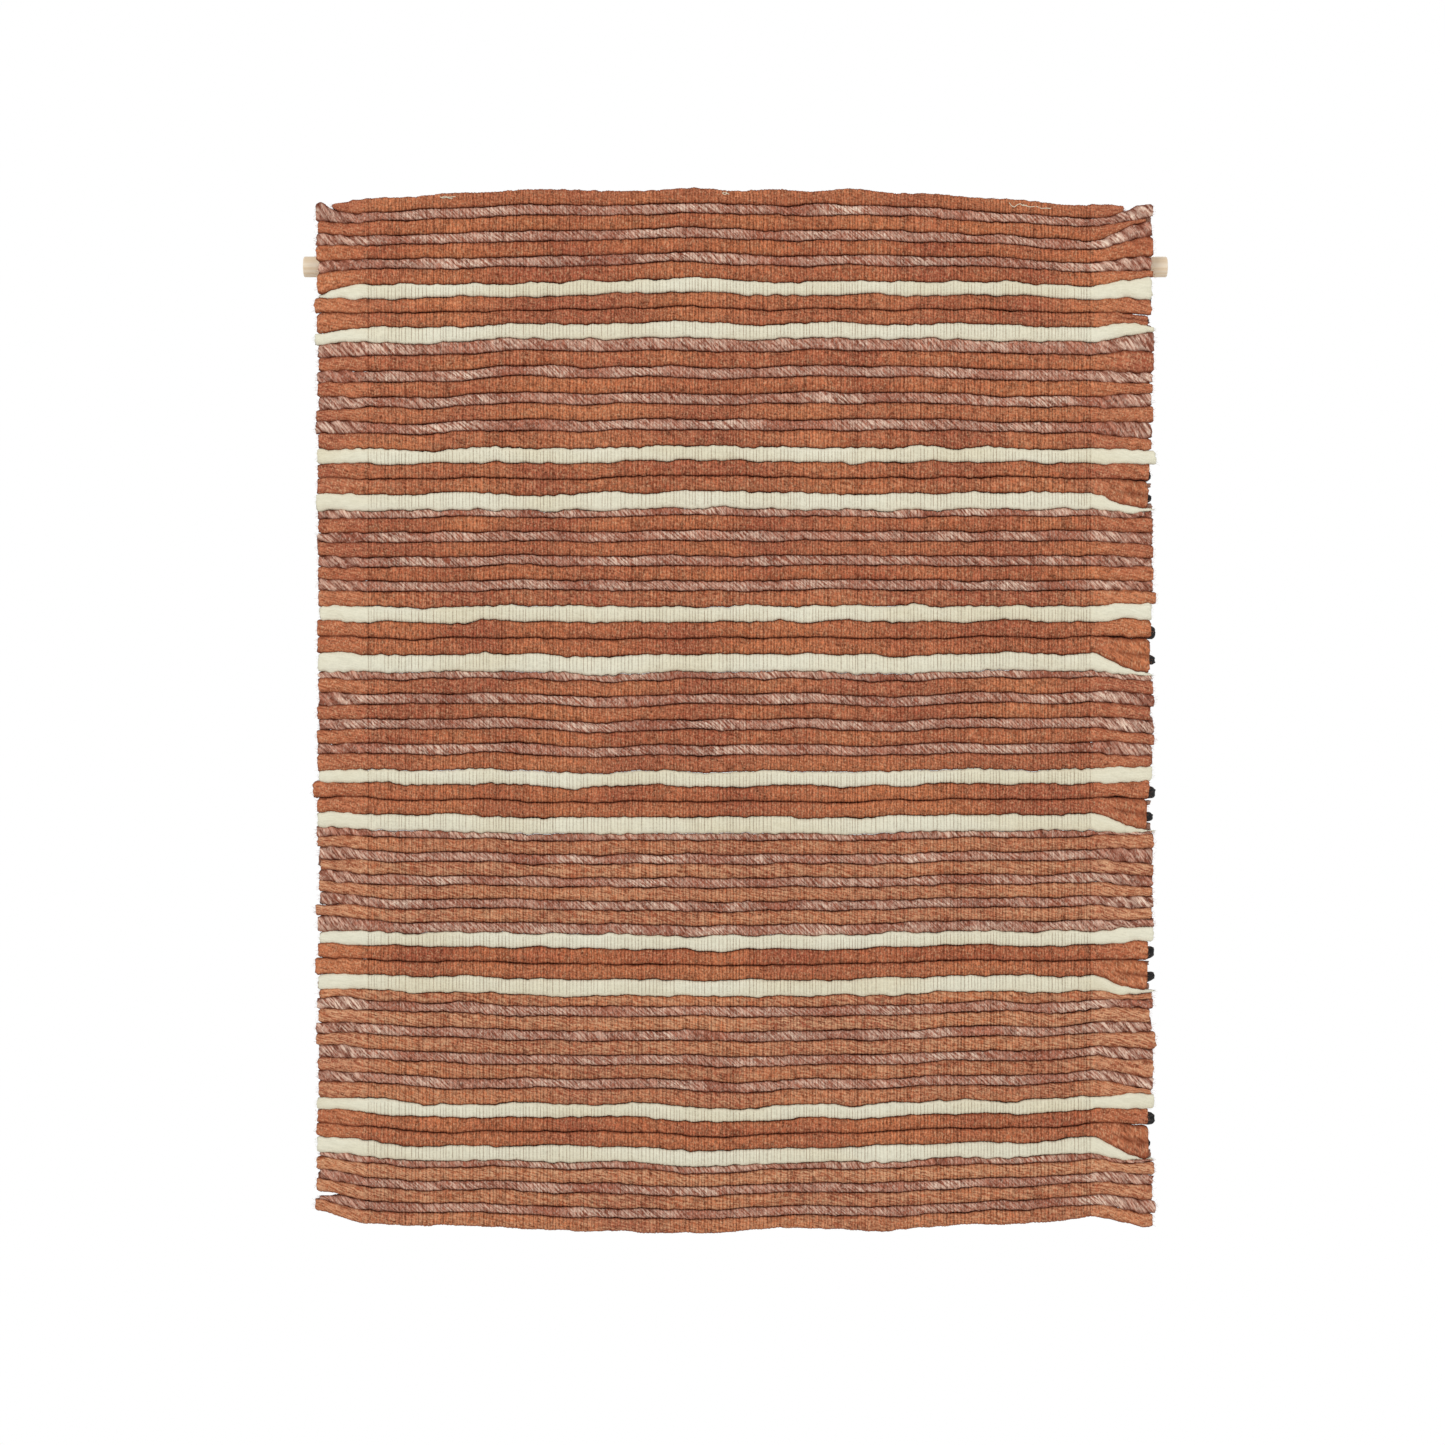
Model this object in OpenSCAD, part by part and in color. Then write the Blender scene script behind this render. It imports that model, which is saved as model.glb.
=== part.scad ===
// Woven wool wall hanging on a wooden dowel.
// The origin is the middle of the dowel, on its axis. X runs along the dowel, Z is up, and the woven
// face looks along -Y. The wall is behind, on the +Y side.

/* [Dowel] */
// Diameter of the dowel
dowel_d = 20; // [12:1:20]
// Length of the dowel
dowel_len = 837; // [820:1:900]
// Radius of the dowel's rounded end edges
dowel_round = 1.5; // [0.5:0.1:3]

/* [Woven panel] */
// Length of a weft, from the left fringe to the right one
weft_len = 802; // [780:1:820]
// Width of the middle part that the warp threads cross
warped_w = 696; // [680:1:710]
// Distance from the dowel's middle to the middle of the warped part, towards the left
warped_left = 6; // [0:1:12]
// Mean height of the top edge above the dowel's axis
top_z = 66; // [60:1:80]
// Gap between neighbouring wefts
weft_gap = 0.8; // [0.8:0.1:1.6]
// How far the ends of the wefts step in and out
fringe_step = 3; // [0:0.5:5]

/* [Fields of rust and pink wefts] */
// Height of each field, from the top one down
field_h = [84, 101, 90, 92, 94, 102, 63]; // [60:1:110]
// Wefts of each field from the top: R rust, r rust half hidden, P pink, p pink tucked in a groove
field_rows = ["RPRPRPR", "PRPRPRPR", "pRPRPRPR", "pRPRPRPR", "pRPRPRPRP", "rPRPRPRPR", "pRPRPR"]; // [R,r,P,p]

/* [Bands of cream and rust wefts] */
// Height of each band, from the top one down
band_h = [58, 62, 66, 62, 61, 58]; // [50:1:75]
// Wefts of a band from the top: c slimmer cream, R rust, C full cream
band_rows = "cRRC"; // [c,C,R]

/* [Yarns] */
// Depth of a rust weft, front to back
rust_depth = 10; // [8:0.5:10]
// Depth of a pink weft
pink_depth = 8; // [6:0.5:9]
// Depth of a cream weft
cream_depth = 10.5; // [8:0.5:10.5]
// Depth of a weft of the back layer
back_depth = 7.5; // [6:0.5:8]
// Spacing of the back layer's wefts
back_pitch = 12.3; // [11:0.1:14]
// Thickness of the layer of warp threads
warp_t = 0.8; // [0.6:0.1:1]

/* [Rod sleeve] */
// Length of the cotton sleeve that the dowel goes through
sleeve_len = 700; // [600:10:760]
// Play between the dowel and the sleeve, all round
sleeve_play = 1.5; // [1.3:0.1:2]
// Thickness of the sleeve's twill
sleeve_t = 1; // [0.8:0.1:1]
// Width of the flat edge that is sewn to the panel above the sleeve, and below it
hem_w = 20; // [14:1:26]
// Length of one stitch
stitch_len = 6; // [4:1:8]
// Distance from one stitch to the next
stitch_pitch = 12; // [10:1:16]

/* [Clearances] */
// Gap on each side of the layer of warp threads
layer_gap = 0.3; // [0.2:0.1:0.4]
// Gap between the sleeve's tube and the back of the panel
panel_gap = 0.7; // [0.6:0.1:1.5]
// Gap between the back of the panel and the sleeve's flat edges
hem_gap = 0.2; // [0.1:0.05:0.4]
// Gap between the sleeve's flat edges and their stitches
stitch_gap = 0.05; // [0.05:0.05:0.2]

/* [Hidden] */
$fn = 32;
round_fn = 96;          // facets of the dowel and its sleeve
knots = 44;
knot_r = 1.5;
stitch_r = 0.5;
stitch_place = 0.7;     // where the stitches lie across a flat edge, as a share of its width
turn = 137.5;           // degrees from one weft to the next in the uneven fringe
flat_least = 0.01;      // a weft's section with less of a flat than this is round
bore_over = 2;          // how much longer the sleeve's bore is cut than the sleeve

fields = len(field_h);
bands = len(band_h);

sleeve_in = dowel_d / 2 + sleeve_play;
sleeve_out = sleeve_in + sleeve_t;
back_y = -sleeve_out - panel_gap;                // back face of the panel
warp_y = back_y - back_depth - layer_gap;        // back face of the warp layer
front_y = warp_y - warp_t - layer_gap;           // back face of the front wefts
hem_y = back_y + hem_gap;                        // front face of the sleeve's flat edges
hem_z = sleeve_out / 2;                          // where a flat edge starts above the axis

rust = [0.63, 0.40, 0.30];
pink = [0.65, 0.50, 0.42];
cream = [0.87, 0.84, 0.75];
charcoal = [0.13, 0.12, 0.12];
thread = [0.45, 0.36, 0.30];
pine = [0.85, 0.70, 0.52];
twill = [0.80, 0.75, 0.66];

// Sections alternate from the top: field, band, field and so on, and end with a field.
function is_field(s) = s % 2 == 0;
function section_h(s) = is_field(s) ? field_h[s / 2] : band_h[(s - 1) / 2];
function section_top(s) = s == 0 ? top_z : section_top(s - 1) - section_h(s - 1);
function section_rows(s) = is_field(s) ? field_rows[s / 2] : band_rows;

// Share of a section's height that each kind of weft takes.
function share(k) =
    k == "R" ? 1.5 : k == "r" ? 0.9 : k == "P" ? 1 : k == "p" ? 0.4 : k == "c" ? 1.5 : 1.75;
function depth(k) =
    k == "R" || k == "r" ? rust_depth : k == "P" || k == "p" ? pink_depth : cream_depth;
function shares(rows, n, i = 0) = i >= n ? 0 : share(rows[i]) + shares(rows, n, i + 1);

// How far the weft of this number is shifted along its length.
function shift(number) = fringe_step * sin(number * turn);

// ---- Wefts ----

// Cross-section of a weft: h high along the first axis and d deep along the second, with round ends.
module weft_section(h, d) {
    r = min(h, d) / 2;
    a = h / 2 - r;
    b = d / 2 - r;
    translate([-a, -b]) circle(r);
    if (a > flat_least || b > flat_least) {
        translate([a, b]) circle(r);
        if (a > b)
            translate([-a, -r]) square([2 * a, 2 * r]);
        else
            translate([-r, -b]) square([2 * r, 2 * b]);
    }
}

// One weft with its middle at x, at height z, h high and d deep, whose back face lies at y.
module weft(x, z, h, d, y) {
    translate([x, y - d / 2, z])
        rotate([0, 90, 0])
            linear_extrude(weft_len, center = true) weft_section(h, d);
}

// The front wefts of section s whose kind is one of kinds.
module front_wefts(s, kinds) {
    rows = section_rows(s);
    unit = section_h(s) / shares(rows, len(rows));
    for (i = [0:len(rows) - 1])
        if (len(search(rows[i], kinds)) > 0) {
            h = unit * share(rows[i]);
            z = section_top(s) - unit * shares(rows, i) - h / 2;
            weft(shift(9 * s + i), z, h - weft_gap, depth(rows[i]), front_y);
        }
}

// The back layer of section s: evenly spaced wefts behind the warps.
module back_wefts(s) {
    n = round(section_h(s) / back_pitch);
    pitch = section_h(s) / n;
    for (i = [0:n - 1])
        weft(shift(8 * s + i), section_top(s) - (i + 0.5) * pitch, pitch - weft_gap, back_depth, back_y);
}

// The warp threads of section s, as one thin layer.
module warp_layer(s) {
    h = section_h(s) - weft_gap;
    translate([-warped_left - warped_w / 2, warp_y - warp_t, section_top(s) - weft_gap / 2 - h])
        cube([warped_w, warp_t, h]);
}

module field_rust_wefts(i) { color(rust) front_wefts(2 * i - 2, "Rr"); }
module field_pink_wefts(i) { color(pink) front_wefts(2 * i - 2, "Pp"); }
module field_back_wefts(i) { color(pink) back_wefts(2 * i - 2); }
module field_warps(i) { color(thread) warp_layer(2 * i - 2); }
module band_cream_wefts(i) { color(cream) front_wefts(2 * i - 1, "cC"); }
module band_rust_wefts(i) { color(rust) front_wefts(2 * i - 1, "R"); }
module band_back_wefts(i) { color(charcoal) back_wefts(2 * i - 1); }
module band_warps(i) { color(thread) warp_layer(2 * i - 1); }

// Knots that tie off the warp threads along the top edge.
module top_knots() {
    color(cream)
        for (i = [0:knots - 1]) {
            x = -warped_left + warped_w * ((i + 0.5) / knots - 0.5);
            translate([x, warp_y - warp_t / 2, top_z + knot_r])
                sphere(knot_r);
        }
}

// ---- Dowel and its sleeve ----

// A round rod with rounded end edges.
module dowel() {
    color(pine)
        rotate([0, 90, 0])
            rotate_extrude($fn = round_fn)
                intersection() {
                    translate([0, -dowel_len / 2]) square([dowel_d / 2, dowel_len]);
                    union() {
                        translate([0, -dowel_len / 2 + dowel_round])
                            square([dowel_d / 2, dowel_len - 2 * dowel_round]);
                        translate([0, -dowel_len / 2])
                            square([dowel_d / 2 - dowel_round, dowel_len]);
                        for (end = [-1, 1])
                            translate([dowel_d / 2 - dowel_round, end * (dowel_len / 2 - dowel_round)])
                                circle(dowel_round);
                    }
                }
}

module rod_sleeve() {
    color(twill)
        rotate([0, 90, 0])
            difference() {
                cylinder(h = sleeve_len, r = sleeve_out, center = true, $fn = round_fn);
                cylinder(h = sleeve_len + bore_over, r = sleeve_in, center = true, $fn = round_fn);
            }
}

// The sleeve's flat edge, sewn against the panel above the tube (side 1) or below it (side -1).
module sleeve_hem(side) {
    color(twill)
        translate([-sleeve_len / 2, hem_y, side > 0 ? hem_z : -hem_z - hem_w])
            cube([sleeve_len, sleeve_t, hem_w]);
}

// A row of running stitches along the middle of the sleeve's flat edge.
module stitches(side) {
    n = floor(sleeve_len / stitch_pitch);
    color(cream)
        for (i = [0:n - 1])
            translate([
                (i - (n - 1) / 2) * stitch_pitch,
                hem_y + sleeve_t + stitch_gap + stitch_r,
                side * (hem_z + hem_w * stitch_place)
            ])
                rotate([0, 90, 0])
                    cylinder(h = stitch_len, r = stitch_r, center = true, $fn = 16);
}

module sleeve_top_hem() { sleeve_hem(1); }
module sleeve_bottom_hem() { sleeve_hem(-1); }
module sleeve_top_stitches() { stitches(1); }
module sleeve_bottom_stitches() { stitches(-1); }

dowel();
rod_sleeve();
sleeve_top_hem();
sleeve_bottom_hem();
sleeve_top_stitches();
sleeve_bottom_stitches();
top_knots();
for (i = [1:fields]) {
    field_rust_wefts(i);
    field_pink_wefts(i);
    field_back_wefts(i);
    field_warps(i);
}
for (i = [1:bands]) {
    band_cream_wefts(i);
    band_rust_wefts(i);
    band_back_wefts(i);
    band_warps(i);
}
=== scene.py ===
import math

import bpy
import numpy as np
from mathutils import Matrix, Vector


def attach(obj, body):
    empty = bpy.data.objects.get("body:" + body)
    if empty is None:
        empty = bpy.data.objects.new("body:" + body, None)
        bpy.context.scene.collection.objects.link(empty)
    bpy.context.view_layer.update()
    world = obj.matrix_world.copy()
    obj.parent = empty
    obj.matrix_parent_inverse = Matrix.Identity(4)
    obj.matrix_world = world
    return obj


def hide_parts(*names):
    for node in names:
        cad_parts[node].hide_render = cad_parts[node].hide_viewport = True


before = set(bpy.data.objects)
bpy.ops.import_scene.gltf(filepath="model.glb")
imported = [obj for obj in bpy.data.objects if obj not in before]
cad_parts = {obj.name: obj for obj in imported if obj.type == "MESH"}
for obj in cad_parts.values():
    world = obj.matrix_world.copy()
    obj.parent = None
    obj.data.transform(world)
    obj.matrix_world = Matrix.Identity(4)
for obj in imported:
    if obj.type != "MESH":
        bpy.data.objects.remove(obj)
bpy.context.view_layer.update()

rng = np.random.default_rng(20)
MM = 0.001

# ---- The layout of the woven panel, in millimetres, as the CAD source has it ----

FIELD_H = [84, 101, 90, 92, 94, 102, 63]
FIELD_ROWS = ["RPRPRPR", "PRPRPRPR", "pRPRPRPR", "pRPRPRPR", "pRPRPRPRP", "rPRPRPRPR", "pRPRPR"]
BAND_H = [58, 62, 66, 62, 61, 58]
BAND_ROWS = "cRRC"
SHARE = {"R": 1.5, "r": 0.9, "P": 1.0, "p": 0.55, "c": 1.5, "C": 1.75}
DEPTH = {"R": 10.0, "r": 9.0, "P": 9.6, "p": 8.0, "c": 10.5, "C": 10.5}
TOP_Z = 66.0
FRONT_Y = -22.1           # back face of the front wefts
BACK_Y = -13.2            # back face of the panel
BACK_DEPTH = 7.5          # depth of a back weft
BACK_PITCH = 12.3         # height of a back weft of a field
WARPED = (-354.0, 342.0)  # the part that the warps cross
WARP_PITCH = 3.2
ENDS = (-401.5, 401.0)    # mean ends of the wefts
SECTIONS = len(FIELD_H) + len(BAND_H)
BOTTOM_Z = TOP_Z - sum(FIELD_H) - sum(BAND_H)


def is_field(s):
    return s % 2 == 0


def section_name(s):
    return f"field_{s // 2 + 1}" if is_field(s) else f"band_{s // 2 + 1}"


def section_height(s):
    return FIELD_H[s // 2] if is_field(s) else BAND_H[s // 2]


def section_top(s):
    return TOP_Z - sum(section_height(i) for i in range(s))


# ---- Camera ----

def placed(name, data):
    """A new object with this data in the scene."""
    thing = bpy.data.objects.new(name, data)
    bpy.context.scene.collection.objects.link(thing)
    return thing


camera_data = bpy.data.cameras.new("camera")
camera_data.lens = 85
camera_data.sensor_width = 36
camera = placed("camera", camera_data)
camera.location = (-0.0125, -3.31, -0.442)
camera.rotation_euler = (math.pi / 2, 0, 0)
bpy.context.scene.camera = camera


# ---- Smooth random curves ----

class Waves:
    """A smooth random curve of about unit size, with waves between two lengths in millimetres."""

    def __init__(self, shortest, longest, slant=0.0, count=8):
        self.length = np.exp(rng.uniform(np.log(shortest), np.log(longest), count))
        self.phase = rng.uniform(0, 2 * np.pi, count)
        self.slant = rng.uniform(-slant, slant, count)

    def __call__(self, x, z=0.0):
        x, z = np.broadcast_arrays(np.asarray(x, float), np.asarray(z, float))
        turn = 2 * np.pi * (x[..., None] / self.length + z[..., None] * self.slant) + self.phase
        return np.cos(turn).sum(-1) * math.sqrt(2 / len(self.length))


def beside(*values):
    """Arrays or numbers broadcast together, next to each other along a new last axis."""
    return np.stack(np.broadcast_arrays(*values), -1)


def ease(t):
    t = np.clip(t, 0, 1)
    return t * t * (3 - 2 * t)


def arch(x, z):
    """How far a level line across the panel is bowed: up in the middle near the top, down below."""
    bow = np.interp(z, [BOTTOM_Z, -18, TOP_Z], [-14, 7, 15.5])
    slope = np.interp(z, [BOTTOM_Z, -700, -18, TOP_Z], [2.4, 1.0, 0, -3.2])
    return bow * (1 / 3 - (x / 400) ** 2) + slope * x / 350


long_ripple = Waves(260, 700, 0.003, 5)
short_ripple = Waves(90, 260, 0.004, 6)


def ripple(x, z):
    """How far the hanging cloth stands forward or back, growing from the sleeve down."""
    hangs_free = np.clip((-30 - z) / 300, 0, 1)
    return hangs_free * (1.1 * long_ripple(x, z) + 0.35 * short_ripple(x, z))


# ---- Boundaries between neighbouring front wefts ----

rows = []                # (section, kind, upper boundary's mean height, lower one's)
for s in range(SECTIONS):
    kinds = FIELD_ROWS[s // 2] if is_field(s) else BAND_ROWS
    unit = section_height(s) / sum(SHARE[k] for k in kinds)
    z = section_top(s)
    for k in kinds:
        rows.append((s, k, z, z - unit * SHARE[k]))
        z -= unit * SHARE[k]
ROWS = len(rows)
kind_of = [k for _, k, _, _ in rows]
rows_of = [[r for r in range(ROWS) if rows[r][0] == s] for s in range(SECTIONS)]
first_boundary = [mine[0] for mine in rows_of] + [ROWS]
level = np.array([rows[0][2]] + [low for _, _, _, low in rows])
for r, k in enumerate(kind_of):      # the soft creams draw in a little from their neighbours
    if k == "C":
        level[r + 1] += 1.7
    if k == "c":
        level[r] -= 1.1
common = Waves(110, 460, 0.006, 14)
own = [Waves(45, 190, 0, 8) for _ in level]
fine = [Waves(10, 34, 0, 7) for _ in level]
# How much each boundary wanders by itself: most under the creams, where the thin pink wefts are.
own_size = np.full(ROWS + 1, 0.45)
fine_size = np.full(ROWS + 1, 0.22)
for r, k in enumerate(kind_of):
    if k in "cC":
        own_size[[r, r + 1]] = 0.7
        fine_size[[r, r + 1]] = 0.36
    if k == "p":
        own_size[r] = 0.6

# In the two fringes a boundary drifts: by one amount at its end and by another in the middle of the fringe.
LEFT, RIGHT = 0, 1
FRINGE_WANDER = np.array([0.9, 2.0])[:, None]
shared = rng.normal(0, 1, (2, ROWS + 3))
shared = (shared[:, :-2] + shared[:, 1:-1] + shared[:, 2:]) / math.sqrt(3)       # neighbours wander together
drift_end = FRINGE_WANDER * shared + rng.normal(0, 0.6, (2, ROWS + 1))
drift_mid = 0.35 * shared[::-1] + rng.normal(0, 0.35, (2, ROWS + 1))
# The right-hand ends hang down, more towards the bottom.
drift_end[RIGHT] -= np.interp(level, [BOTTOM_Z, -750, -400, -150], [12, 7, 3, 0])
# A weft's top and bottom edges draw in towards its ends, which opens the groove there.
open_top = np.abs(rng.normal(0.0, 0.3, (2, ROWS)))
open_low = np.abs(rng.normal(0.0, 0.3, (2, ROWS)))
open_mid = np.zeros(ROWS)                        # opening below a weft in the middle of the right fringe
end_out = rng.normal(0, 1.2, (2, ROWS))          # how far a weft's end sticks out
blunt = np.full((2, ROWS), 0.80)                 # size of the very end
# For each band, how much its creams thin out at the left, and how far its rusts part at the right.
THIN_CREAMS = [1.0, 0.1, 0.45, 0.3, 0.6, 0.25]
OPEN_GROOVES = [0.3, 0.2, 1.4, 1.3, 0.2, 0.0]


def is_lower_rust(r):
    """Whether front weft r is the lower rust one of a band."""
    return not is_field(rows[r][0]) and kind_of[r] == "R" and kind_of[r - 1] == "R"


def swell_plied(r):
    """The free ends of the plied yarn swell."""
    for side in (LEFT, RIGHT):
        swell = rng.uniform(0.4, 1.5)
        for drift, share in ((drift_end, 0.8), (drift_mid, 0.7)):
            drift[side, r] += swell * share
            drift[side, r + 1] -= swell * share


def thin_upper_cream(r, thin):
    drift_end[LEFT, r] -= 5.0 * thin
    drift_end[RIGHT, [r, r + 1]] = 0.25 * drift_end[RIGHT, [r, r + 1]] + (0.5, -0.5)


def point_lower_cream(r, thin):
    """The lower cream's right end droops to a point, and the rust above it spreads over it."""
    _, _, high, low = rows[r]
    drift_end[LEFT, [r, r + 1]] -= 1.6 * thin
    open_top[LEFT, r] += 1.2 * thin
    drift_end[RIGHT, r + 1] -= 3.0
    drift_mid[RIGHT, r + 1] -= 3.0
    drift_mid[RIGHT, r] -= 2.6
    drift_end[RIGHT, r] = drift_end[RIGHT, r + 1] - (high - low) + rng.uniform(2.5, 5)
    drift_end[RIGHT, r - 1] -= 3.0
    end_out[RIGHT, r] += 1.5
    blunt[RIGHT, r] = 0.5


def shorten_band_rust(r, thin):
    """A band's rust wefts end short of the charcoal ones at the right, with an open groove between them."""
    end_out[LEFT, r] += 3.2 * thin
    if is_lower_rust(r):
        end_out[RIGHT, r] -= 4.6
        open_top[LEFT, r] += 1.2 * thin
        open_top[RIGHT, r] += 0.8
    else:
        end_out[RIGHT, r] -= 4.0
        drift_end[RIGHT, r + 1] = 0.4 * drift_end[RIGHT, r + 1] + 1.0
        open_low[RIGHT, r] += 0.6
        open_mid[r] = OPEN_GROOVES[rows[r][0] // 2]


for r, (s, k, _, _) in enumerate(rows):
    if k in "Pp":
        swell_plied(r)
    if not is_field(s):
        {"c": thin_upper_cream, "C": point_lower_cream, "R": shorten_band_rust}[k](r, THIN_CREAMS[s // 2])
# The topmost plied wefts flare up over the ends of the wefts above them, most at the right.
drift_end[LEFT, :9] = [-1.0, 12.6, 4.8, 5.4, 3.4, 1.4, -1.9, -5.3, 0.0]
drift_end[RIGHT, :9] = [4.8, 16.3, 12.0, 20.5, 12.5, 7.2, 2.9, 9.5, 1.5]
drift_end[RIGHT, 9:13] = [0.5, 2.5, 11.5, 5.0]       # the lower cream of the first band rises instead
drift_mid[RIGHT, 9:13] = [0.0, 2.5, 0.5, 0.0]
drift_mid[RIGHT, :6] = [-2.2, -2.0, 0.0, 0.5, 0.0, 0.0]
drift_mid[LEFT, :6] = [0.6, -2.4, -1.0, -0.8, 0.0, 0.0]
end_out[LEFT, [0, 1, 3]] = [-14.0, 2.0, 1.5]
end_out[RIGHT, [0, 1, 2, 3, 4]] = [-28.0, 0.0, -6.0, -1.0, 0.5]
# The last wefts turn up at the left, with an open notch above them.
drift_end[LEFT, ROWS - 5:] = [1.0, 2.4, 3.4, 3.6, 5.2, 8.0]
open_low[LEFT, ROWS - 3] += 0.8
open_top[LEFT, ROWS - 2] += 5.0
end_out[LEFT, ROWS - 3:] += [1.0, -1.0, 2.0]
end_out[RIGHT, ROWS - 5:] += [0.5, 2.0, 0.0, 2.0, 0.5]


def fringe(x):
    """How far a point is into the left and into the right fringe, from 0 at the warps to 1 at the end."""
    return (
        np.clip((WARPED[0] - x) / (WARPED[0] - ENDS[0]), 0, 1.1),
        np.clip((x - WARPED[1]) / (ENDS[1] - WARPED[1]), 0, 1.1),
    )


def boundary(b, x):
    """Height of boundary b at x: 0 is the panel's top edge."""
    z = level[b]
    h = z + arch(x, z) + 0.85 * common(x, z) + own_size[b] * own[b](x) + fine_size[b] * fine[b](x)
    for side, t in zip((LEFT, RIGHT), fringe(x)):
        hump = np.sin(np.pi * np.clip(t, 0, 1)) ** 1.5
        h = h + drift_end[side, b] * (0.6 * ease(t) + 0.4 * t) + drift_mid[side, b] * hump
    return h


# ---- Warps ----

WARP_MARGIN = 1.2        # from the side of the warped part to its first warp
WARPS = round((WARPED[1] - WARPED[0] - 1.8) / WARP_PITCH)
spacing = rng.uniform(2.5, 4.0, WARPS - 1)
spacing *= (WARPED[1] - WARPED[0] - 2 * WARP_MARGIN) / spacing.sum()
warp_x = WARPED[0] + WARP_MARGIN + np.concatenate([[0], np.cumsum(spacing)])
warp_pull = rng.uniform(0.35, 1.0, WARPS)
warp_pull[[0, -1]] = 0.9
warp_at = warp_x + rng.normal(0, 0.10, (ROWS, WARPS))   # x of each warp on each weft
pull_at = warp_pull * rng.uniform(0.65, 1.25, (ROWS, WARPS))


def gaps_after(x, past_last):
    """The middle of the gap after each warp: the last one's is past_last beyond it."""
    return np.append((x[1:] + x[:-1]) / 2, x[-1] + past_last)


# ---- Cross-sections: pairs of (height, depth), height from -1 to 1 and depth from 0 at the back to 1 ----

UPPER_HALF = [
    (0.0, 0.0), (0.55, 0.03), (0.92, 0.15), (1.0, 0.36),
    (0.985, 0.62), (0.91, 0.83), (0.75, 0.95), (0.42, 0.995),
]
RIBBON = np.array(UPPER_HALF + [(0.0, 1.0)] + [(-z, y) for z, y in UPPER_HALF[:0:-1]])
POINTS = len(RIBBON)
FACE = POINTS // 2       # the point at the front
ANGLES = 2 * np.pi * np.arange(POINTS) / POINTS
ROUND = np.stack([np.sin(ANGLES), (1 - np.cos(ANGLES)) / 2], 1)


def around(profile, height, depth):
    """Distance round a cross-section from its back to each of its points."""
    p = profile * (height / 2, depth)
    step = np.linalg.norm(np.roll(p, -1, 0) - p, axis=1)
    return np.concatenate([[0], np.cumsum(step)[:-1]])


# ---- Meshes ----

def side_faces(stations, points):
    """Corners of the quads round and along a strand."""
    i, j = np.meshgrid(np.arange(stations - 1) * points, np.arange(points), indexing="ij")
    k = (j + 1) % points
    return np.stack([i + j, i + k, i + points + k, i + points + j], -1).reshape(-1, 4)


def strand_faces(stations, points, count):
    """Corners of the side faces of count strands, and of a fan of triangles at both ends of each."""
    quads = side_faces(stations, points)
    j = np.arange(points)
    k = (j + 1) % points
    body = stations * points
    low = np.stack([np.full(points, body), k, j], -1)
    last = (stations - 1) * points
    high = np.stack([np.full(points, body + 1), last + j, last + k], -1)
    step = (body + 2) * np.arange(count)
    return (
        (quads[None] + step[:, None, None]).reshape(-1, 4),
        (np.concatenate([low, high])[None] + step[:, None, None]).reshape(-1, 3),
    )


def strands(grid, **attributes):
    """Points, faces and attributes of closed strands, from a grid of strand, station, point round it, xyz."""
    count, stations, points = grid.shape[:3]

    def with_caps(a):
        flat = a.reshape(count, stations * points, -1)
        with_middles = np.concatenate([flat, a[:, :1].mean(2), a[:, -1:].mean(2)], 1)
        return with_middles.reshape(count * (stations * points + 2), -1)

    quads, triangles = strand_faces(stations, points, count)
    return with_caps(grid), quads, triangles, {k: with_caps(v) for k, v in attributes.items()}


def joined(parts):
    """Several results of strands() as one."""
    starts = np.cumsum([0] + [len(verts) for verts, _, _, _ in parts])
    verts = np.concatenate([part[0] for part in parts])
    quads = np.concatenate([part[1] + start for part, start in zip(parts, starts)])
    triangles = np.concatenate([part[2] + start for part, start in zip(parts, starts)])
    attributes = {key: np.concatenate([part[3][key] for part in parts]) for key in parts[0][3]}
    return verts, quads, triangles, attributes


def make(name, part, material, body, replaced=()):
    """A piece from points in millimetres, riding on a body."""
    verts, quads, triangles, attributes = part
    mesh = bpy.data.meshes.new(name)
    mesh.vertices.add(len(verts))
    mesh.vertices.foreach_set("co", (verts * MM).astype(np.float32).ravel())
    mesh.loops.add(quads.size + triangles.size)
    corners = np.concatenate([quads.ravel(), triangles.ravel()])
    mesh.loops.foreach_set("vertex_index", corners.astype(np.int32))
    mesh.polygons.add(len(quads) + len(triangles))
    starts = np.concatenate([np.arange(len(quads)) * 4, quads.size + np.arange(len(triangles)) * 3])
    mesh.polygons.foreach_set("loop_start", starts.astype(np.int32))
    mesh.update(calc_edges=True)
    mesh.shade_smooth()
    for key, value in attributes.items():
        layer = mesh.attributes.new(key, "FLOAT_VECTOR", "POINT")
        layer.data.foreach_set("vector", value.astype(np.float32).ravel())
    mesh.materials.append(material)
    piece = placed(name, mesh)
    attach(piece, body)
    if replaced:
        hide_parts(*replaced)
    return piece


# ---- Materials ----

def linear(r, g, b):
    """A display colour from 0 to 255 as linear light."""
    return tuple(((c / 255 + 0.055) / 1.055) ** 2.4 for c in (r, g, b))


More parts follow.
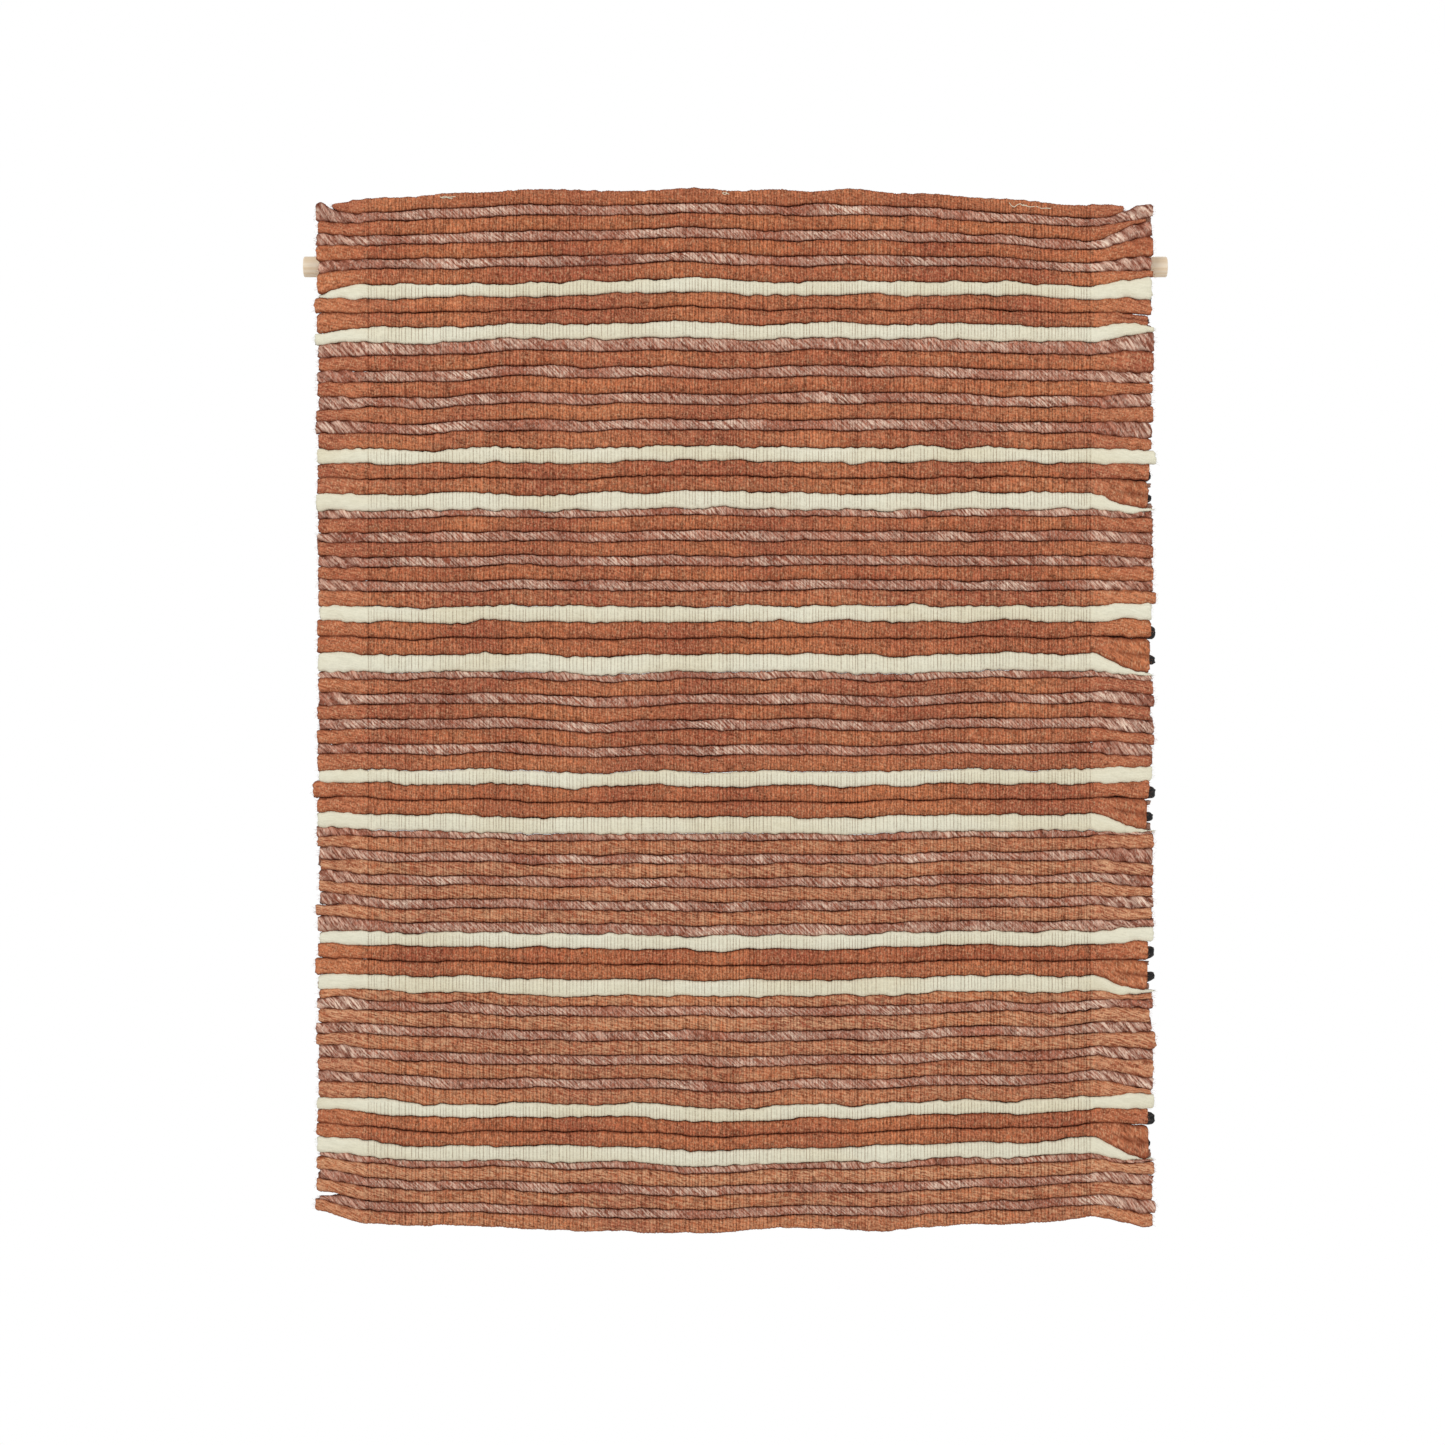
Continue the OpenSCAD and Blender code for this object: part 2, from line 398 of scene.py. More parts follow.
class Shader:
    """Adds nodes to a material, with short calls."""

    def __init__(self, name, **sockets):
        self.material = bpy.data.materials.new(name)
        self.material.use_nodes = True
        self.tree = self.material.node_tree
        self.bsdf = self.tree.nodes["Principled BSDF"]
        for key, value in sockets.items():
            self.bsdf.inputs[key.replace("_", " ")].default_value = value

    def put(self, socket, value):
        if isinstance(value, bpy.types.NodeSocket):
            self.tree.links.new(value, socket)
        elif isinstance(value, tuple) and len(value) == 3 and len(socket.default_value) == 4:
            socket.default_value = (*value, 1)
        else:
            socket.default_value = value

    def add(self, kind, inputs, output=0, **settings):
        """An output of a new node. Each input, by name or place, is a number or another node's output."""
        node = self.tree.nodes.new("ShaderNode" + kind)
        for key, value in settings.items():
            setattr(node, key, value)
        for key, value in inputs.items():
            self.put(node.inputs[key], value)
        return node.outputs[output]

    def math(self, operation, a, b=0.0, c=0.0, clamp=False):
        return self.add("Math", {0: a, 1: b, 2: c}, operation=operation, use_clamp=clamp)

    def times(self, a, b, clamp=False):
        return self.math("MULTIPLY", a, b, clamp=clamp)

    def plus(self, a, b, clamp=False):
        return self.math("ADD", a, b, clamp=clamp)

    def turned(self, u, v, cosine, sine):
        """u and v in axes turned by an angle."""
        along = self.plus(self.times(u, cosine), self.times(v, sine))
        return along, self.math("SUBTRACT", self.times(v, cosine), self.times(u, sine))

    def attribute(self, name):
        """The three numbers of a named attribute."""
        numbers = self.add("Attribute", {}, "Vector", attribute_name=name)
        return self.add("SeparateXYZ", {0: numbers}).node.outputs

    def vector(self, x, y, z=0.0, by=(1, 1, 1)):
        """Three values as a vector, each times its number in by."""
        values = [v if scale == 1 else self.times(v, scale) for v, scale in zip((x, y, z), by)]
        return self.add("CombineXYZ", dict(enumerate(values)))

    def noise(self, where, scale=1.0, detail=2.0, rough=0.5):
        return self.add("TexNoise", {"Vector": where, "Scale": scale, "Detail": detail, "Roughness": rough})

    def spread(self, value, low, high, to_low=0.0, to_high=1.0):
        """A value from low to high turned into one from to_low to to_high, smoothly."""
        inputs = {"Value": value, "From Min": low, "From Max": high, "To Min": to_low, "To Max": to_high}
        return self.add("MapRange", inputs, interpolation_type="SMOOTHSTEP")

    def mix(self, factor, a, b):
        return self.add("Mix", {"Factor": factor, 6: a, 7: b}, 2, data_type="RGBA")

    def brighten(self, colour, by):
        """The colour times a number."""
        return self.add("VectorMath", {0: colour, "Scale": by}, operation="SCALE")

    def colour(self, value):
        self.put(self.bsdf.inputs["Base Color"], value)

    def bump(self, height, distance):
        normal = self.add("Bump", {"Strength": 1.0, "Distance": distance, "Height": height})
        self.put(self.bsdf.inputs["Normal"], normal)


# What every wool reads. yarn is (distance along, distance round, number of the yarn), in millimetres;
# tone is (pinch of the warps, warmth, paleness); place is (depth in the groove, share of fringe, and a third
# number: for front wefts the groove between two plies, for back wefts charcoal). The pinch, the depth in the
# groove and the groove between plies darken the colour as painted shade.
def wool(name, twist, fine, dark, light, pale, deep, streaks, ribs, pinch, speck, flecks, groove_shade_span, fuzz=0.0003):
    """A loose or plied wool. twist is the fibres' slant in degrees; fine is waves per mm along and across;
    deep is the colour of the painted shade at pinches, between plies and by the grooves.
    """
    m = Shader(name, Roughness=0.95, Sheen_Weight=0.10, Sheen_Roughness=0.6, Specular_IOR_Level=0.1)
    m.bsdf.inputs["Sheen Tint"].default_value = (*light, 1)
    u, v, w = m.attribute("yarn")
    pinched, warmth, paleness = m.attribute("tone")
    groove, free, ply = m.attribute("place")
    along, across = m.turned(u, v, math.cos(math.radians(twist)), math.sin(math.radians(twist)))
    seed = m.times(w, 7.31)
    fibre = m.noise(m.vector(along, across, seed, by=(*fine, 1)), 1.0, 3.0, 0.6)
    strandy = m.noise(m.vector(along, across, seed, by=(0.06, 0.3, 1)), 1.0, 2.0)
    speckle = m.noise(m.vector(u, v, seed), 0.55, 3.0, 0.75)
    fleck = m.noise(m.vector(u, v, seed, by=(1, 0.6, 1)), 0.7, 2.0, 0.6)
    drift = m.noise(m.vector(u, v, seed, by=(0.4, 1, 1)), 0.035, 2.0, 0.5)
    warmth = m.times(warmth, 0.3)
    warm = m.plus(warmth, m.math("MULTIPLY_ADD", drift, 1.8, -0.4), clamp=True)
    tint = m.mix(warm, dark, light)
    loose = m.math("MULTIPLY_ADD", free, 0.7, 1.0)
    lit = m.math("MULTIPLY_ADD", m.spread(fibre, 0.3, 0.7, -streaks, streaks), loose, 1.0)
    lit = m.plus(lit, m.spread(strandy, 0.35, 0.65, -0.5 * streaks, 0.5 * streaks))
    lit = m.plus(lit, m.spread(speckle, 0.32, 0.68, -0.75 * speck, speck))
    # upright streaks, where the warps press the fibres together
    rib = m.noise(m.vector(u, v, seed, by=(0.75, 0.10, 1)), 1.0, 2.0, 0.65)
    held = m.math("SUBTRACT", 1.0, free)
    lit = m.plus(lit, m.times(m.spread(rib, 0.34, 0.66, -ribs, ribs), held))
    tint = m.brighten(tint, lit)
    palest = m.times(paleness, m.spread(fibre, 0.36, 0.70, 0.0, 1.0))
    palest = m.plus(palest, m.spread(fleck, 0.48, 0.76, 0.0, flecks), clamp=True)
    tint = m.mix(palest, tint, pale)
    # painted shade: where the warps pinch the wool, its colour darkens towards deep
    shade = m.times(pinched, m.spread(speckle, 0.30, 0.62, 1.35 * pinch, 0.35 * pinch), clamp=True)
    tint = m.mix(shade, tint, deep)
    # painted shade: the colour darkens towards deep near the groove between two wefts, up over their rounded
    # edges
    uneven = m.noise(m.vector(u, v, seed, by=(0.12, 1, 1)), 1.0, 2.0, 0.6)
    edge = m.plus(groove, m.math("MULTIPLY_ADD", uneven, 0.16, -0.08))
    # painted shade between the two plies of a loose plied end
    tint = m.mix(m.times(ply, 0.55), tint, deep)
    tint = m.mix(m.spread(edge, *groove_shade_span, 0.0, 0.95), tint, deep)
    m.colour(tint)
    m.bump(m.plus(fibre, m.times(speckle, 0.6)), fuzz)
    return m.material


# The fourth colour of each wool is painted shade: the dark it turns to at the warps' pinches, between its
# plies and by the grooves.
rust_wool = wool(
    "rust roving", 14, (0.12, 0.7),
    linear(152, 79, 56), linear(178, 104, 68), linear(230, 182, 142), linear(104, 47, 28),
    streaks=0.18, ribs=0.42, pinch=0.90, speck=0.38, flecks=0.60, groove_shade_span=(0.04, 0.40),
)
pink_wool = wool(
    "pink plied yarn", 42, (0.10, 0.6),
    linear(145, 80, 60), linear(162, 95, 72), linear(250, 226, 204), linear(112, 56, 38),
    streaks=0.26, ribs=0.30, pinch=0.85, speck=0.28, flecks=0.46, groove_shade_span=(0.05, 0.42),
)
cream_wool = wool(
    "cream roving", 8, (0.13, 0.8),
    linear(226, 218, 190), linear(232, 228, 206), linear(240, 238, 220), linear(128, 104, 72),
    streaks=0.03, ribs=0.045, pinch=0.42, speck=0.04, flecks=0.1, groove_shade_span=(0.18, 0.62), fuzz=0.00015,
)


def back_material():
    """Wool of the back layer, rust and pink or, where place says so, charcoal, with painted shade where the
    warps pinch it and by the grooves between its wefts.
    """
    m = Shader("back wool", Roughness=0.95, Sheen_Weight=0.15, Sheen_Roughness=0.6, Specular_IOR_Level=0.15)
    u, v, w = m.attribute("yarn")
    pinched, warmth, paleness = m.attribute("tone")
    groove, free, coal = m.attribute("place")
    along, across = m.turned(u, v, 0.8, 0.6)
    seed = m.times(w, 3.7)
    fibre = m.noise(m.vector(along, across, seed, by=(0.16, 1.3, 1)), 1.0, 3.0, 0.6)
    speckle = m.noise(m.vector(u, v, seed), 1.1, 3.0, 0.75)
    tint = m.mix(warmth, linear(158, 98, 72), linear(170, 118, 98))
    tint = m.brighten(tint, m.spread(speckle, 0.25, 0.75, 0.75, 1.2))
    palest = m.times(paleness, m.spread(fibre, 0.4, 0.75), clamp=True)
    tint = m.mix(palest, tint, linear(215, 188, 166))
    black = m.mix(m.spread(fibre, 0.3, 0.75), linear(26, 25, 26), linear(70, 68, 68))
    tint = m.mix(coal, tint, black)
    # painted shade: darker where the warps pinch the back wefts, and near the grooves between them
    tint = m.mix(m.times(pinched, 0.45, clamp=True), tint, linear(40, 22, 15))
    tint = m.mix(m.spread(groove, 0.15, 0.95, 0.0, 0.9), tint, linear(38, 20, 13))
    m.colour(tint)
    m.bump(m.plus(fibre, m.times(speckle, 0.5)), 0.0003)
    return m.material


back_wool = back_material()


def thread_material(name, colour, deep):
    """Fine twisted thread. yarn is (distance along, place round, number)."""
    m = Shader(name, Roughness=0.9, Specular_IOR_Level=0.08)
    u, v, _ = m.attribute("yarn")
    ply = m.math("SINE", m.plus(m.times(u, 5.0), m.times(v, 2.0)))
    m.colour(m.mix(m.spread(ply, -1, 1), deep, colour))
    return m.material


warp_thread = thread_material("warp thread", linear(158, 102, 68), linear(126, 74, 46))
# the warps' own brown, made darker as painted shade for the grooves where this layer shows
shaded_ground_thread = thread_material("close warps", linear(122, 64, 42), linear(94, 48, 30))
sewing_thread = thread_material("sewing thread", linear(240, 234, 220), linear(198, 188, 170))
knot_cotton = thread_material("knot cotton", linear(240, 230, 206), linear(206, 192, 166))


# ---- Front wefts ----

TIPS = np.array([0, 0.5, 1.3, 2.4])      # stations close together at a weft's rounded end
LOOSE_LEFT, LOOSE_RIGHT = 50, 58         # stations in each fringe
PER_WARP = 4                             # stations for each warp: beside it, on it, beside it and in the gap
FIRST_WARP = len(TIPS) + LOOSE_LEFT + 1  # the first warp's own station
BESIDE = 0.62
BESIDE_PINCH = 0.42


def with_fringes(held, pinch, ends, tips, inset, clear, counts):
    """All stations of a weft and their pinches: those that the warps hold, and counts more in each fringe."""
    left, right = ends
    before = np.concatenate([left + tips, np.linspace(left + inset, held[0] - clear[0], counts[0])])
    after = np.concatenate([np.linspace(held[-1] + clear[1], right - inset, counts[1]), right - tips[::-1]])
    return np.concatenate([before, held, after]), np.concatenate([0 * before, pinch, 0 * after])


def hung(x, y, z, from_end):
    """The points of a weft with uneven cut ends, in the ripples of the hanging cloth."""
    grid = beside(x[:, None], y, z)
    grid[..., 0] += np.clip(1 - from_end / 1.6, 0, 1)[:, None] * rng.normal(0, 0.5, y.shape)
    grid[..., 1] -= ripple(grid[..., 0], grid[..., 2])
    return grid


def stations_of(r):
    """x of the stations along front weft r, and how far a warp pinches it at each."""
    x = warp_at[r]
    ends = ENDS[0] - end_out[LEFT, r], ENDS[1] + end_out[RIGHT, r]
    held = np.stack([x - BESIDE, x, x + BESIDE, gaps_after(x, 1.4)], 1).ravel()
    pull = pull_at[r]
    pinch = np.stack([BESIDE_PINCH * pull, pull, BESIDE_PINCH * pull, 0 * pull], 1).ravel()
    return with_fringes(held, pinch, ends, TIPS, 3.4, (0.9, 0.8), (LOOSE_LEFT, LOOSE_RIGHT))


warm_field = Waves(90, 420, 0.004, 12)
PINCH_DEPTH = {"R": 0.80, "r": 0.7, "P": 0.62, "p": 0.5, "c": 0.42, "C": 0.42}
PINCH_EDGE = {"R": 0.30, "r": 0.2, "P": 0.24, "p": 0.15, "c": 0.20, "C": 0.20}
ROUNDING = {"R": 0.40, "r": 0.40, "P": 0.50, "p": 0.5, "c": 0.22, "C": 0.22}
LOOSE_ROUNDING = {"R": 0.2, "r": 0.2, "P": 0.5, "p": 0.5, "c": 0.2, "C": 0.2}
PALE_FIELD = [0.16, 0.20, 0.24, 0.22, 0.62, 0.74, 0.70]      # how dusty the rust of each field is
LEAST_HEIGHT = 1.6
section_warm = rng.uniform(-0.5, 0.5, SECTIONS)


def weft_edges(r, x, left, right, free):
    """Heights of the top and bottom edges of front weft r, a groove's half away from its boundaries."""
    gap = -0.12 + 0.16 * np.clip(own[r](x + 31), -1, 2) - 0.5 * free
    rough = rng.normal(0, 0.15, (2, len(x)))
    top = boundary(r, x) - gap + rough[0]
    low = boundary(r + 1, x) + gap + rough[1]
    for side, t in ((LEFT, left), (RIGHT, right)):
        widening = np.clip(t, 0, 1.1) ** 1.8
        top = top - open_top[side, r] * widening
        low = low + open_low[side, r] * widening
    return top, low + open_mid[r] * np.sin(np.pi * np.clip(right * 1.3, 0, 1)) ** 2


def weft_sections(r, right, free):
    """Cross-sections along front weft r: a ribbon where the warps hold it, and rounder where it is loose."""
    kind = kind_of[r]
    roundness = (ROUNDING[kind] + LOOSE_ROUNDING[kind] * free)[:, None, None]
    shape = RIBBON * (1 - roundness) + ROUND * roundness
    if is_lower_rust(r):        # its right-hand end shows its two strands
        shape[:, FACE, 1] *= 1 - 0.26 * ease((right - 0.1) / 0.5)
    return shape


def loosened(r, x, free):
    """How far a loose weft's points stand out at each angle, and how deep they lie between its plies, where
    the wool paints shade.
    """
    if kind_of[r] in "Pp":
        lay = 19 + rng.uniform(-3, 3)
        turn = 2 * (ANGLES - 2 * np.pi * x[:, None] / (2 * lay)) + rng.uniform(0, 6)
        return 0.75 * np.cos(turn) * free[:, None], np.clip(-np.cos(turn), 0, 1) ** 3 * free[:, None]
    lump = 0.22 * free[:, None] * np.cos(2 * ANGLES - x[:, None] / 6 + rng.uniform(0, 6))
    return lump, np.zeros((len(x), POINTS))


def weft_tone(r, x, pinch, free):
    """Pinch, warmth and paleness at each station of front weft r, as its wool reads them."""
    s, kind, _, _ = rows[r]
    warm = 0.75 * warm_field(x, 23.0 * r) + section_warm[s] + 0.35 * rng.normal()
    pale = 0.12 + 0.1 * rng.uniform()
    pressed = np.clip(pinch, 0, 1.2)
    if kind in "Rr" and is_field(s):
        pale = PALE_FIELD[s // 2] * rng.uniform(0.6, 1.2)
    if kind in "Pp":
        pale = np.clip(0.48 + 0.20 * own[r](x * 0.7 + 9) + 0.04 * free, 0.1, 1)
        pressed = pressed * 0.8
    return beside(pressed, warm, pale)


def front_weft(r):
    """The points of front weft r, and what its wool reads at each."""
    _, kind, high_z, low_z = rows[r]
    x, pinch = stations_of(r)
    left, right = fringe(x)
    free = ease(np.maximum(left, right) * 4)
    top, low = weft_edges(r, x, left, right, free)
    high = np.maximum(top - low, LEAST_HEIGHT)
    depth = DEPTH[kind] * (1 + 0.03 * own[r](x * 1.3 + 50)) * (1 - 0.05 * free)
    if kind in "Cc":
        depth = np.minimum(depth, 4 + 0.62 * high)
    # the warps' pinches and the round ends
    half = high / 2 - PINCH_EDGE[kind] * pinch
    depth = depth - PINCH_DEPTH[kind] * pinch
    from_end = np.minimum(x - x[0], x[-1] - x)
    for side, near in ((LEFT, x < 0), (RIGHT, x > 0)):
        size = blunt[side, r] + (1 - blunt[side, r]) * np.sqrt(np.clip(from_end / TIPS[-1], 0, 1))
        half = np.where(near, half * size, half)
        depth = np.where(near, depth * (0.5 + 0.5 * size), depth)
    shape = weft_sections(r, right, free)
    back = FRONT_Y - 0.3 * np.abs(1 - high / np.median(high))
    curl = 1.6 * rng.uniform(-0.3, 1) * ease(left) + 1.6 * rng.uniform(-0.3, 1) * ease(right)
    lump, ply = loosened(r, x, free)
    upright, out = shape[..., 0], shape[..., 1]
    y = (back + curl)[:, None] - depth[:, None] * out - lump * (2 * out - 1)
    z = ((top + low) / 2)[:, None] + half[:, None] * upright + lump * upright
    grid = hung(x, y, z, from_end)
    v = around(RIBBON, high_z - low_z, DEPTH[kind])
    yarn = beside(x[:, None], v - v[FACE], float(r))
    tone = np.broadcast_to(weft_tone(r, x, pinch, free)[:, None], grid.shape)
    # place: depth into the groove and between the plies, both darkened by the wool as painted shade, and how
    # loose the weft is
    place = beside(1 - out, free[:, None], ply)
    return grid, yarn, tone, place


# ---- Round threads and loose fibres ----

def thread_yarn(path, turn):
    """The yarn attribute of round threads: distance along, angle round, and the thread's number."""
    length = np.cumsum(np.linalg.norm(np.diff(path, axis=1, prepend=path[:, :1]), axis=2), axis=1)
    number = np.arange(len(path))[:, None, None]
    return beside(length[:, :, None], turn[None, None], number)


def cords(path, radius, sides=6):
    """Closed round threads along any paths: strand, station, xyz."""
    along = np.gradient(path, axis=1)
    along /= np.linalg.norm(along, axis=2)[..., None]
    across = np.empty_like(path)
    guess = np.broadcast_to([0.1, 0.9, 0.3], path[:, 0].shape)
    for i in range(path.shape[1]):
        guess = guess - (guess * along[:, i]).sum(1)[:, None] * along[:, i]
        guess = guess / np.linalg.norm(guess, axis=1)[:, None]
        across[:, i] = guess
    other = np.cross(along, across)
    turn = 2 * np.pi * np.arange(sides) / sides
    radius = np.broadcast_to(radius, path.shape[:2])[..., None, None]
    cosine, sine = np.cos(turn)[None, None, :, None], np.sin(turn)[None, None, :, None]
    grid = path[:, :, None] + radius * (across[:, :, None] * cosine + other[:, :, None] * sine)
    return strands(grid, yarn=thread_yarn(path, turn))


FIBRES_AT_END, FIBRES_ALONG, FIBRE_R = 16, 12, 0.06


def loose_fibres(grid, row, warm=0.5, pale=0.6):
    """Fine fibres that stand out of a weft's two cut ends, and a few that lie loose along it."""
    base, way = [], []
    for ring, sign in ((grid[0], -1.0), (grid[-1], 1.0)):
        share = np.sqrt(rng.uniform(0, 1, FIBRES_AT_END))[:, None]
        base.append(ring[rng.integers(0, POINTS, FIBRES_AT_END)] * share + ring.mean(0) * (1 - share))
        spread = np.stack([np.full(FIBRES_AT_END, sign), *rng.normal(0, 0.45, (2, FIBRES_AT_END))], 1)
        way.append(spread * rng.uniform(0.8, 3.4, (FIBRES_AT_END, 1)))
    station = rng.integers(5, len(grid) - 5, FIBRES_ALONG)
    point = rng.integers(4, 13, FIBRES_ALONG)
    out = grid[station, point] - grid[station].mean(1)
    out[:, 0] = 0
    out /= np.linalg.norm(out, axis=1)[:, None]
    spread = out * rng.uniform(0.1, 0.5, (FIBRES_ALONG, 1))
    spread[:, 0] = rng.choice([-1.0, 1.0], FIBRES_ALONG)
    spread[:, 2] += rng.normal(0, 0.35, FIBRES_ALONG)
    base = np.concatenate([*base, grid[station, point]])
    way = np.concatenate([*way, spread * rng.uniform(2, 7, (FIBRES_ALONG, 1))])
    t = np.linspace(0, 1, 5)[None, :, None]
    bend = rng.normal(0, 0.22, base.shape)[:, None] * np.linalg.norm(way, axis=1)[:, None, None]
    path = base[:, None] + way[:, None] * (t - 0.05) + bend * t**2
    verts, quads, triangles, made = cords(path, FIBRE_R, 3)
    yarn = made["yarn"].copy()
    yarn[:, 2] = row
    tone = np.broadcast_to([0.0, warm, pale], verts.shape)
    place = np.broadcast_to([0.0, 1.0, 0.0], verts.shape)
    return verts, quads, triangles, {"yarn": yarn, "tone": tone, "place": place}


# ---- Pieces of front wefts: the word in a piece's name, its kinds of weft, its wool and its slot ----

FIELD_GROUPS = [("rust", "Rr", rust_wool, "rust_roving"), ("pink", "Pp", pink_wool, "pink_yarn")]
BAND_GROUPS = [("cream", "cC", cream_wool, "cream_roving"), ("rust", "R", rust_wool, "rust_roving")]
front = [front_weft(r) for r in range(ROWS)]


def build_front(s):
    """The front wefts of a section, one piece for each CAD node."""
    name = section_name(s)
    for word, kinds, material, slot in FIELD_GROUPS if is_field(s) else BAND_GROUPS:
        mine = [r for r in rows_of[s] if kind_of[r] in kinds]
        grid, yarn, tone, place = (np.stack(values) for values in zip(*(front[r] for r in mine)))
        wefts = strands(grid, yarn=yarn, tone=tone, place=place)
        fibres = [loose_fibres(front[r][0], float(r)) for r in mine]
        node = f"{name}_{word}_wefts"
        make(f"{node}_cloth", joined([wefts, *fibres]), material, name, [node])


for s in range(SECTIONS):
    build_front(s)


# ---- Warp threads ----

thread_r = rng.uniform(0.07, 0.15, WARPS)
OVER_FRONT = [3, 5, 6, 7, 8, 9, 10, 11, 13]      # points of a front weft's section that a warp runs over
PROUD_OF_FRONT = [0.0, 0.10, 0.14, 0.15, 0.15, 0.15, 0.14, 0.10, 0.0]
WIDER_THAN_FRONT = [0.05, 0.12, 0.08, 0.03, 0.0, -0.03, -0.08, -0.12, -0.05]
SINK_AT_BORDER = [(1.8, 1.8), (0.5, 1.0), (0.15, 0.3)]      # of a warp's first points: back and inwards
OVER_BACK = [3, 4, 5, 6, 7]
PROUD_OF_BACK = [0.0, 0.08, 0.10, 0.08, 0.0]
LOOSE_BACK_LEFT, LOOSE_BACK_RIGHT = 16, 18       # stations of a back weft in each fringe
BACK_TIPS = np.array([0, 0.5, 1.3])
FIRST_BACK_WARP = len(BACK_TIPS) + LOOSE_BACK_LEFT


def tubes(path, sides=3):
    """The warps as thin tubes along paths: strand, station, xyz. The cross-section lies in X and Y."""
    turn = 2 * np.pi * (np.arange(sides) + 0.5) / sides + np.pi / 2
    ring = beside(np.cos(turn), np.sin(turn), 0.0)
    grid = path[:, :, None, :] + ring[None, None] * thread_r[:, None, None, None]
    return strands(grid, yarn=thread_yarn(path, turn))


def front_paths(s):
    """Where the warps run over the faces of a section's front wefts."""
    path = []
    for r in rows_of[s]:
        p = front[r][0][FIRST_WARP + PER_WARP * np.arange(WARPS)][:, OVER_FRONT]
        p[..., 1] -= PROUD_OF_FRONT
        p[..., 1] += 0.28 * rng.uniform(0, 1, (WARPS, 1)) ** 1.5
        p[..., 2] += WIDER_THAN_FRONT
        path.append(p)
    # they sink into the first and last wefts, clear of the next section when the cloth bends
    for i, (back, inwards) in enumerate(SINK_AT_BORDER):
        path[0][:, i] += (0, back, -inwards)
        path[-1][:, -1 - i] += (0, back, inwards)
    return np.concatenate(path, 1)


def back_paths(s):
    """Where the warps run over a section's back wefts."""
    path = []
    for grid in back_grid[s]:
        p = grid[FIRST_BACK_WARP + 2 * np.arange(WARPS)][:, OVER_BACK]
        p[..., 1] += PROUD_OF_BACK
        path.append(p)
    return np.concatenate(path, 1)


# ---- Back wefts ----

HALF_ROUND = [(0.0, 1.0), (0.62, 0.95), (0.97, 0.68), (0.97, 0.32), (0.62, 0.05), (0.0, 0.0)]
BACK_SHAPE = np.array(HALF_ROUND + [(-z, y) for z, y in HALF_ROUND[-2:0:-1]])   # depth 1 is next to the warps
# How far the right ends of each band's two charcoal wefts stick out.
COAL_OUT = [(0, -2), (-1, 0), (3.6, 3.4), (3.4, 1.0), (2.6, 3.0), (3.4, -1)]
BAND_BACK = [("P", 0.19), ("K", 0.32), ("P", 0.10), ("K", 0.24), ("P", 0.15)]
BACK_GAP = 0.25          # half of the groove between two back wefts
back_grid = {}


def back_layout(s):
    """Kinds (R rust, P pink, K charcoal) and shares of the height of the back wefts of a section."""
    if not is_field(s):
        return BAND_BACK
    count = round(section_height(s) / BACK_PITCH)
    share = rng.uniform(0.85, 1.15, count)
    share /= share.sum()
    kinds = ["K" if s == 0 and i == 0 else "RP"[i % 2] for i in range(count)]
    return list(zip(kinds, share))


def back_stations(s, i, kind, last):
    """x of the stations along back weft i of a section, and how far a warp pinches it at each."""
    out = rng.normal(-1.0, 1.2, 2)
    if s == 0 and i == 0:
        out = np.array([-16.0, -36.0])
    if s == SECTIONS - 1 and i >= last - 1:
        out[0] -= 17
    if kind == "K" and not is_field(s):
        out = np.array([rng.uniform(-7, 2.5), COAL_OUT[s // 2][i // 2]])
    ends = ENDS[0] - out[0], ENDS[1] + out[1]
    held = np.stack([warp_x, gaps_after(warp_x, 1.4)], 1).ravel()
    pinch = np.stack([warp_pull, 0 * warp_x], 1).ravel()
    return with_fringes(held, pinch, ends, BACK_TIPS, 2.6, (1.2, 1.0), (LOOSE_BACK_LEFT, LOOSE_BACK_RIGHT))


